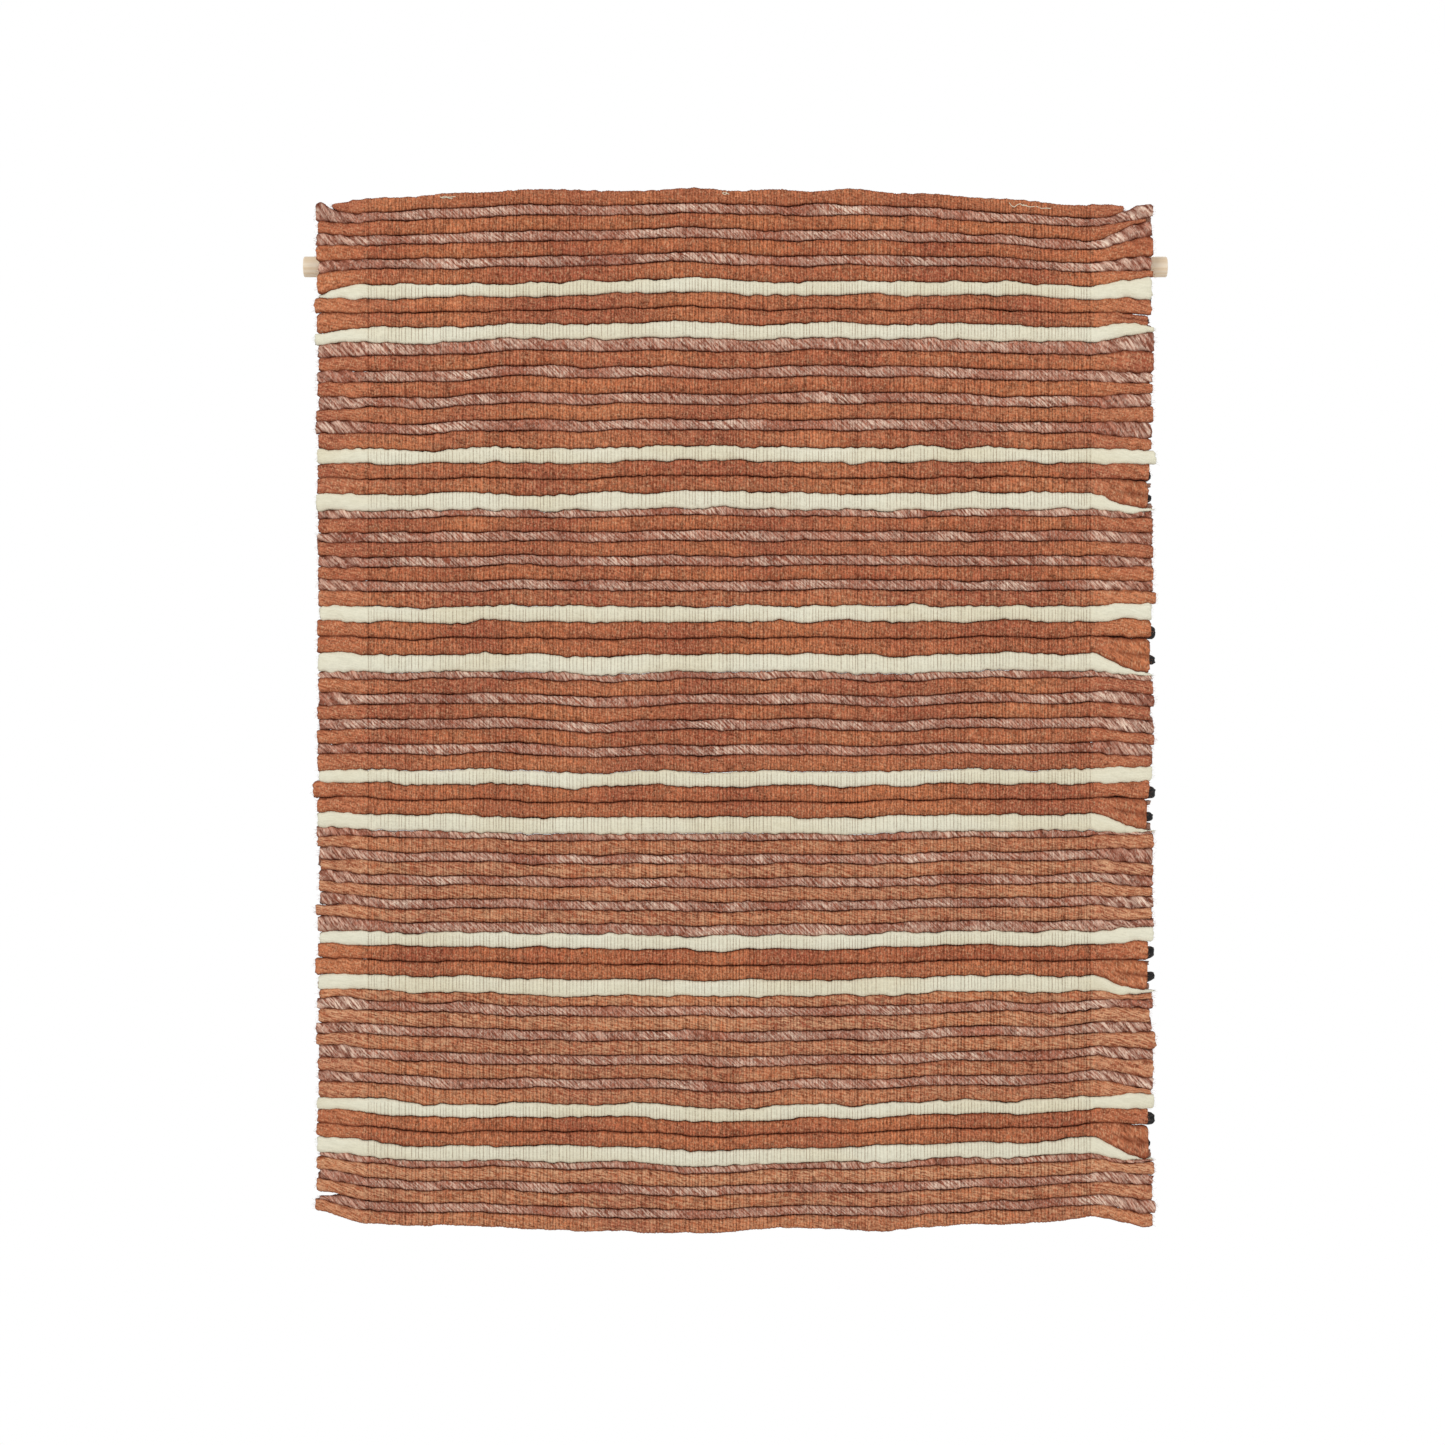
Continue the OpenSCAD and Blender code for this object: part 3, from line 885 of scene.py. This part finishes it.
def back_weft(s, i, layout, edge, sway):
    """The points of back weft i of a section, and what its wool reads at each."""
    kind = layout[i][0]
    x, pinch = back_stations(s, i, kind, len(layout) - 1)
    section_edges = boundary(first_boundary[s], x), boundary(first_boundary[s + 1], x)

    def level_at(j):
        inside = 0 < j < len(layout)
        between = section_edges[0] + (section_edges[1] - section_edges[0]) * edge[j]
        return between + (0.5 * sway[j](x) if inside else 0)

    top, low = level_at(i), level_at(i + 1)
    if s == 0 and i == 0:        # the charcoal weft peeps over the top edge towards the left
        top = top - 1.1 + 2.4 * ease((x + 322) / 14) * ease((-228 - x) / 14)
    high, middle = top - low - 2 * BACK_GAP, (top + low) / 2
    from_end = np.minimum(x - x[0], x[-1] - x)
    size = 0.75 + 0.25 * np.sqrt(np.clip(from_end / 2, 0, 1))
    if kind == "K":
        size = 0.45 + 0.55 * np.sqrt(np.clip(from_end / 4, 0, 1))
    loose = np.maximum(*fringe(x))
    half = (high / 2 - 0.15 * pinch) * size
    if kind == "K" and not is_field(s):      # the charcoal ends are narrower and sit lower
        ends = ease(loose) ** 2
        half = half * (1 - 0.36 * ends)
        middle = middle - 0.045 * section_height(s) * ends
    deep = (BACK_DEPTH * (1 + 0.03 * sway[i](x * 1.4)) - 0.5 * pinch) * (0.5 + 0.5 * size)
    y = (BACK_Y - BACK_DEPTH) + deep[:, None] * (1 - BACK_SHAPE[:, 1])
    grid = hung(x, y, middle[:, None] + half[:, None] * BACK_SHAPE[:, 0], from_end)
    v = around(BACK_SHAPE, section_height(s) / len(layout), BACK_DEPTH)
    warm, pale = (0.15, 0.15) if kind == "R" else (0.9, 0.8)
    # groove: how near each point lies to the groove between two back wefts, which the back wool darkens as
    # painted shade
    groove, coal = np.abs(BACK_SHAPE[:, 0]) ** 4, float(kind == "K")
    yarn = beside(x[:, None], v, 10.0 * s + i)
    tone = beside(pinch[:, None], warm, pale + 0 * v)
    place = beside(groove, ease(loose * 4)[:, None], coal)
    return grid, yarn, tone, place


def build_back(s):
    """The back wefts of a section, as one piece."""
    name = section_name(s)
    layout = back_layout(s)
    edge = np.cumsum([0] + [share for _, share in layout])
    sway = [Waves(40, 140, 0, 6) for _ in edge]
    made = [back_weft(s, i, layout, edge, sway) for i in range(len(layout))]
    back_grid[s], yarn, tone, place = (np.stack(values) for values in zip(*made))
    part = strands(back_grid[s], yarn=yarn, tone=tone, place=place)
    return make(f"{name}_back_wefts_cloth", part, back_wool, name, [f"{name}_back_wefts"])


GROUND_Y = (-21.0, -21.9)      # faces of the layer of close warps between the front and the back wefts
GROUND_RIB = 0.10              # how far each warp of that layer stands out


def ground(s):
    """The close layer of warps between the front and back wefts of a section: a thin sheet."""
    held = np.stack([warp_x, gaps_after(warp_x, 1.2)], 1).ravel()
    x = np.concatenate([[WARPED[0] - 1.0], held])
    top, low = boundary(first_boundary[s], x) - 0.9, boundary(first_boundary[s + 1], x) + 0.1
    z = top[:, None] + (low - top)[:, None] * np.linspace(0, 1, 9)
    rib = np.zeros((len(x), 1))
    rib[1::2] = GROUND_RIB
    wave = ripple(x[:, None], z)
    y_back, y_front = GROUND_Y[0] + rib - wave, GROUND_Y[1] - rib - wave
    ring_z = np.concatenate([z, z[:, ::-1]], 1)
    ring_y = np.concatenate([y_back, y_front[:, ::-1]], 1)
    grid = beside(x[:, None], ring_y, ring_z)[None]
    return strands(grid, yarn=grid[..., [2, 0, 0]])


back_pieces = [build_back(s) for s in range(SECTIONS)]
for s in range(SECTIONS):
    name = section_name(s)
    warps = joined([tubes(front_paths(s)), tubes(back_paths(s))])
    threads = make(f"{name}_warp_threads", warps, warp_thread, name)
    sheet = make(f"{name}_ground", ground(s), shaded_ground_thread, name, [f"{name}_warps"])


# ---- Dowel ----

def wood_material():
    """Pale pine. grain is the place in the wood in millimetres; the year rings lie round a line beside it."""
    m = Shader("pine", Roughness=0.5, Specular_IOR_Level=0.3)
    x, y, z = m.attribute("grain")
    wobble = m.noise(m.vector(x, y, z, by=(0.006, 0.07, 0.07)))
    aside, above = m.math("SUBTRACT", y, 31.0), m.plus(z, 22.0)
    far = m.math("SQRT", m.plus(m.times(aside, aside), m.times(above, above)))
    ring = m.math("SINE", m.plus(m.times(far, 1.5), m.times(wobble, 7.0)))
    fibre = m.noise(m.vector(x, y, z, by=(0.05, 1.7, 1.7)), 1, 3)
    tint = m.mix(m.spread(ring, -1.0, 1.0), linear(248, 230, 204), linear(240, 216, 184))
    m.colour(m.brighten(tint, m.spread(fibre, 0.25, 0.75, 0.94, 1.05)))
    m.bump(m.plus(fibre, m.times(ring, 0.15)), 0.00012)
    return m.material


DOWEL_HALF, DOWEL_R, DOWEL_ROUND = 418.5, 10.0, 1.5
DOWEL_STATIONS, DOWEL_SIDES = 83, 64


def dowel():
    """The dowel: round, with its end edges rounded over."""
    bend = np.linspace(0, math.pi / 2, 6)
    end_x = DOWEL_HALF - DOWEL_ROUND * (1 - np.cos(bend[::-1]))
    end_r = DOWEL_R - DOWEL_ROUND * (1 - np.sin(bend[::-1]))
    end_x, end_r = np.append(end_x, [DOWEL_HALF] * 3), np.append(end_r, [6.5, 4.0, 1.5])
    x = np.concatenate([-end_x[::-1], np.linspace(-410, 410, DOWEL_STATIONS), end_x])
    radius = np.concatenate([end_r[::-1], np.full(DOWEL_STATIONS, DOWEL_R), end_r])
    turn = 2 * np.pi * np.arange(DOWEL_SIDES) / DOWEL_SIDES
    grid = beside(x[:, None], radius[:, None] * np.cos(turn), radius[:, None] * np.sin(turn))[None]
    return strands(grid, grain=grid)


make("dowel_wood", dowel(), wood_material(), "dowel", ["dowel"])


# ---- Sleeve, its stitches, the knots along the top edge and their tails ----

def smooth(points, count):
    """A smooth curve through points, as count points evenly spaced along it."""
    points = np.asarray(points, float)
    padded = np.concatenate([[2 * points[0] - points[1]], points, [2 * points[-1] - points[-2]]])
    t = np.linspace(0, 1, 21)[:-1, None]
    pieces = []
    for a, b, c, d in zip(padded, padded[1:], padded[2:], padded[3:]):
        square, cube = 2 * a - 5 * b + 4 * c - d, 3 * b - a - 3 * c + d
        pieces.append(0.5 * (2 * b + (c - a) * t + square * t**2 + cube * t**3))
    path = np.concatenate(pieces + [points[-1:]])
    length = np.concatenate([[0], np.cumsum(np.linalg.norm(np.diff(path, axis=0), axis=1))])
    even = np.linspace(0, length[-1], count)
    return np.stack([np.interp(even, length, path[:, i]) for i in range(points.shape[1])], 1)


SLEEVE_HALF, SLEEVE_THICK = 350.0, 1.0
SLEEVE_PATH = smooth([          # (y, z) of the middle of the cloth
    (-12.55, 26.3), (-12.55, 20.0), (-12.4, 15.5), (-8.5, 12.3), (0, 11.3), (8.2, 8.4), (11.3, 0),
    (8.6, -8.4), (0, -12.0), (-8.5, -13.4), (-12.4, -16.5), (-12.55, -20.5), (-12.55, -26.3),
], 70)
HEM_POINTS = 12                 # points of the path that lie flat in each hem
SLEEVE_LENGTH = float(np.linalg.norm(np.diff(SLEEVE_PATH, axis=0), axis=1).sum())


def twill_material():
    """Cotton twill. yarn is (distance across the panel, distance round the rod, side)."""
    m = Shader("cotton twill", Roughness=0.9, Sheen_Weight=0.1, Specular_IOR_Level=0.15)
    u, v, _ = m.attribute("yarn")
    rib = m.math("SINE", m.times(m.plus(u, v), 5.2))
    thread = m.times(m.math("SINE", m.times(v, 10.4)), 0.4)
    slub = m.noise(m.vector(u, v, by=(0.1, 1.2, 1)), 1.0, 3.0)
    weave = m.plus(rib, thread)
    tint = m.mix(m.spread(weave, -1.4, 1.4), linear(166, 154, 132), linear(204, 194, 172))
    m.colour(m.brighten(tint, m.spread(slub, 0.25, 0.75, 0.9, 1.06)))
    m.bump(weave, 0.0002)
    return m.material


def sleeve():
    """One strip of cloth: flat on the back of the panel, round the dowel, and flat on the panel again."""
    x = np.linspace(-SLEEVE_HALF, SLEEVE_HALF, 176)
    n = len(SLEEVE_PATH)
    along = np.gradient(SLEEVE_PATH, axis=0)
    along /= np.linalg.norm(along, axis=1)[:, None]
    out = np.stack([along[:, 1], -along[:, 0]], 1)
    out *= np.sign((out * (SLEEVE_PATH + (2, 0))).sum(1))[:, None]
    out[:HEM_POINTS] = out[-HEM_POINTS:] = (1, 0)
    round_part = ease((SLEEVE_PATH[:, 0] + 11.5) / 6)
    sag = Waves(60, 300, 0, 7)
    pucker = Waves(9, 30, 0, 7)
    wander = 0.18 * sag(x)[:, None] * round_part + 0.10 * pucker(x)[:, None] * ease(1 - round_part)
    outer = SLEEVE_PATH + out * SLEEVE_THICK / 2
    inner = SLEEVE_PATH - out * SLEEVE_THICK / 2
    ring = np.concatenate([outer, inner[::-1]])
    push = np.concatenate([out, out[::-1]])
    move = np.concatenate([wander, wander[:, ::-1]], 1)
    grid = np.empty((len(x), 2 * n, 3))
    grid[..., 0] = x[:, None] + 0.25 * rng.normal(size=2 * n) * (np.abs(x[:, None]) > SLEEVE_HALF - 1)
    grid[..., 1:] = ring + push * np.clip(move, -0.1, 0.6)[..., None]
    length = np.linspace(0, SLEEVE_LENGTH, n)
    v = np.concatenate([length, length[::-1]])
    yarn = beside(x[:, None], v, 0.0)
    j = np.arange(n - 1)
    end = np.stack([j, 2 * n - 1 - j, 2 * n - 2 - j, j + 1], -1)
    far = (len(x) - 1) * 2 * n
    quads = np.concatenate([side_faces(len(x), 2 * n), end, (end + far)[:, ::-1]])
    return grid.reshape(-1, 3), quads, np.empty((0, 3), int), {"yarn": yarn.reshape(-1, 3)}


STITCHES, STITCH_PITCH, STITCH_LONG = 58, 12.0, 6.0
STITCH_Z, STITCH_Y, STITCH_PROUD = 20.25, -12.6, 0.95
STITCH_R = 0.42


def stitches(sign):
    """Running stitches through a hem of the sleeve; sign is 1 for the top hem, -1 for the bottom one."""
    x = STITCH_PITCH * (np.arange(STITCHES) - (STITCHES - 1) / 2)
    t = np.linspace(-1, 1, 11)
    x = (x + rng.normal(0, 0.3, len(x)))[:, None]
    x = x + STITCH_LONG / 2 * t * rng.uniform(0.9, 1.05, x.shape)
    y = STITCH_Y + STITCH_PROUD * (1 - np.abs(t) ** 4)
    z = sign * STITCH_Z + rng.normal(0, 0.2, (len(x), 1)) + t * rng.normal(0, 0.25, (len(x), 1))
    return cords(beside(x, y, z), STITCH_R)


KNOTS, KNOT_SIZE, KNOT_R = 44, 0.62, 0.36
KNOT_Y, KNOT_BELOW_TOP = -21.4, 1.6
KNOT_MIDDLE, KNOTS_WIDE = -6, 696        # of the row of knots: the warped part
LOOP_POINTS, TAIL_POINTS = 24, 4


def knots():
    """Small overhand knots with two tails, just behind the panel's top edge."""
    x = KNOT_MIDDLE + KNOTS_WIDE * ((np.arange(KNOTS) + 0.5) / KNOTS - 0.5) + rng.normal(0, 1.2, KNOTS)
    a = np.linspace(0.35, 2 * np.pi - 0.35, LOOP_POINTS)
    loop = np.stack([np.sin(a) + 2 * np.sin(2 * a), -0.9 * np.sin(3 * a), np.cos(a) - 2 * np.cos(2 * a)], 1)
    loop = KNOT_SIZE * loop
    t = np.linspace(0, 1, TAIL_POINTS + 1)[1:, None]
    path = []
    for middle in x:
        down, aside = rng.uniform(2.5, 6.0, 2), rng.uniform(-1.5, 1.5, 2)
        first = loop[0] + t[::-1] * (-1 + aside[0], 0, -down[0])
        last = loop[-1] + t * (1 + aside[1], 0, -down[1])
        turn = rng.uniform(-0.5, 0.5)
        k = np.concatenate([first, loop, last])
        k_x = k[:, 0] * math.cos(turn) - k[:, 2] * math.sin(turn)
        k_z = k[:, 0] * math.sin(turn) + k[:, 2] * math.cos(turn)
        top = float(boundary(0, middle))
        path.append(beside(k_x, k[:, 1], k_z) + (middle, KNOT_Y, top - KNOT_BELOW_TOP))
    return cords(np.stack(path), KNOT_R)


def tails():
    """The few thread tails that lie over the front of the top edge."""
    marks = [            # x, and height above the top edge
        [(-284, -4.0), (-281, -5.2), (-277, -4.2), (-273, -4.6), (-269, -3.9)],
        [(-282, -4.6), (-279, -3.4), (-276, -5.0), (-272, -6.2)],
        [(-12, -2.6), (-10.5, -1.4), (-8.6, -2.2), (-8.9, -4.2),
         (-11.0, -4.6), (-12.4, -3.4), (-10, -3.0), (-6, -4.4)],
        [(263, -4.4), (265.5, -7.0), (268, -7.6), (270.5, -5.6), (273.6, -4.6), (276, -6.2), (280, -5.2)],
        [(276, -5.4), (282, -6.2), (288, -5.6), (293, -6.4), (298, -5.8), (303, -6.2)],
    ]
    path = []
    for mark in marks:
        x, above = smooth(mark, 30).T
        # the front of the top weft at that height
        share = np.clip(1 + above / 7.0, 0, 1)
        y = FRONT_Y - DEPTH["R"] * np.sqrt(1 - 0.9 * share**4) - 0.15 + rng.normal(0, 0.05, len(x))
        path.append(beside(x, y, boundary(0, x) + above))
    return cords(np.stack(path), STITCH_R)


sleeve_piece = make(
    "sleeve_cloth", sleeve(), twill_material(), "field_1",
    ["rod_sleeve", "sleeve_top_hem", "sleeve_bottom_hem"],
)
upper_stitches, lower_stitches = (
    make(
        f"sleeve_{edge}_stitch_threads", stitches(sign), sewing_thread, "field_1",
        [f"sleeve_{edge}_stitches"],
    )
    for edge, sign in (("top", 1), ("bottom", -1))
)
make("top_knot_threads", joined([knots(), tails()]), knot_cotton, "field_1", ["top_knots"])


# ---- Floor, light and world ----

FLOOR_R, FLOOR_Z, FLOOR_SIDES = 2.0, -1.6, 96       # in metres
WORLD_LIGHT, WORLD_SEEN = 0.60, 1.0                # strength of the white world, as a light and as seen
floor_mesh = bpy.data.meshes.new("floor")
angles = np.linspace(0, 2 * math.pi, FLOOR_SIDES + 1)[:-1]
disc = [(FLOOR_R * math.cos(a), FLOOR_R * math.sin(a), FLOOR_Z) for a in angles]
floor_mesh.from_pydata(disc, [], [list(range(FLOOR_SIDES))])
floor_shader = Shader("floor", Roughness=0.8)
floor_shader.bsdf.inputs["Base Color"].default_value = (0.86, 0.85, 0.83, 1)
floor_mesh.materials.append(floor_shader.material)
placed("floor", floor_mesh)

world = bpy.data.worlds.new("world")
bpy.context.scene.world = world
world.use_nodes = True
tree = world.node_tree
background = tree.nodes["Background"]
seen = tree.nodes.new("ShaderNodeLightPath")
strength = tree.nodes.new("ShaderNodeMix")
strength.inputs[2].default_value = WORLD_LIGHT
strength.inputs[3].default_value = WORLD_SEEN
tree.links.new(seen.outputs["Is Camera Ray"], strength.inputs[0])
tree.links.new(strength.outputs[0], background.inputs["Strength"])
background.inputs["Color"].default_value = (1, 1, 1, 1)


def area_light(name, where, size, watts):
    data = bpy.data.lights.new(name, "AREA")
    data.shape, data.size, data.energy = "SQUARE", size, watts
    lamp = placed(name, data)
    lamp.location = where
    lamp.rotation_euler = (Vector(MIDDLE) - Vector(where)).to_track_quat("-Z", "Y").to_euler()


MIDDLE = (0, 0, -0.45)     # of the panel, which all lamps point at
area_light("key light", (-1.3, -3.0, 1.6), 1.6, 42)
area_light("fill light", (1.8, -2.4, 0.2), 1.6, 14)
area_light("back light", (1.2, 3.0, 1.4), 1.8, 34)
bpy.context.scene.view_settings.view_transform = "Standard"
